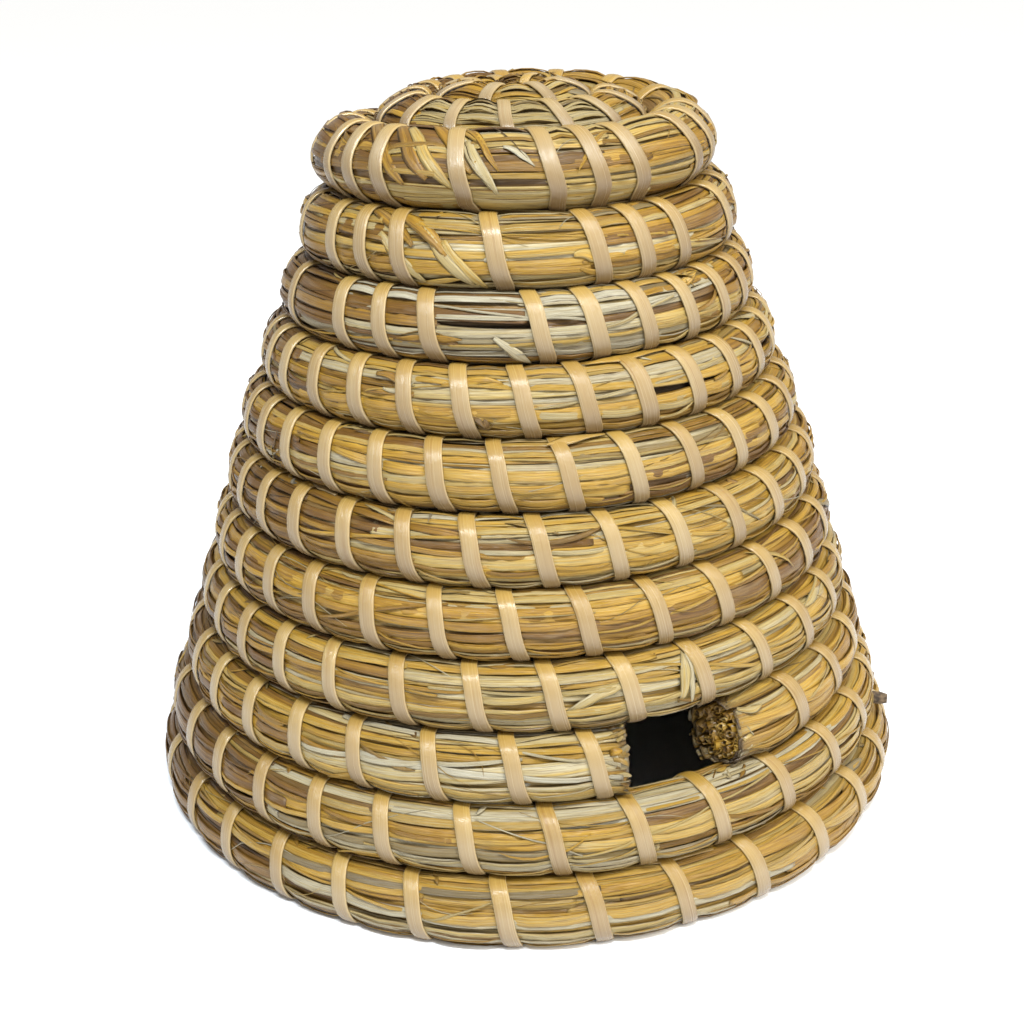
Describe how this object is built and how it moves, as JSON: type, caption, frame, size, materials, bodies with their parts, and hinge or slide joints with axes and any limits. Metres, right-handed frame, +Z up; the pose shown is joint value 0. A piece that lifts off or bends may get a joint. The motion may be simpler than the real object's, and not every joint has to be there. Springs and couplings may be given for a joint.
{
  "type": "bee skep",
  "caption": "Domed bee hive of coiled straw rope bound row to row with split cane, with an open foot, a small cut entrance and a cross stick that carries the combs.",
  "frame": {"origin": "middle of the footprint, on the surface that the skep stands on", "axes": "+Z up through the crown; -Y towards the viewer of the picture, with the entrance at front right; +X to the right"},
  "size_m": [0.372, 0.3702, 0.3281],
  "materials": {
    "straw": "dry satin straw",
    "cane": "smooth satin split cane",
    "stick_wood": "weathered dark bark"
  },
  "bodies": {
    "root": {"straw_coil_upper": "straw", "straw_coil_lower": "straw", "cane_binding_01": "cane", "cane_binding_02": "cane", "cane_binding_03": "cane", "cane_binding_04": "cane", "cane_binding_05": "cane", "cane_binding_06": "cane", "cane_binding_07": "cane", "cane_binding_08": "cane", "cane_binding_09": "cane", "cane_binding_10": "cane", "cane_binding_11": "cane", "cane_binding_12": "cane", "cane_binding_13": "cane", "cane_binding_14": "cane", "cane_binding_15": "cane", "comb_stick": "stick_wood"}
  },
  "joints": []
}
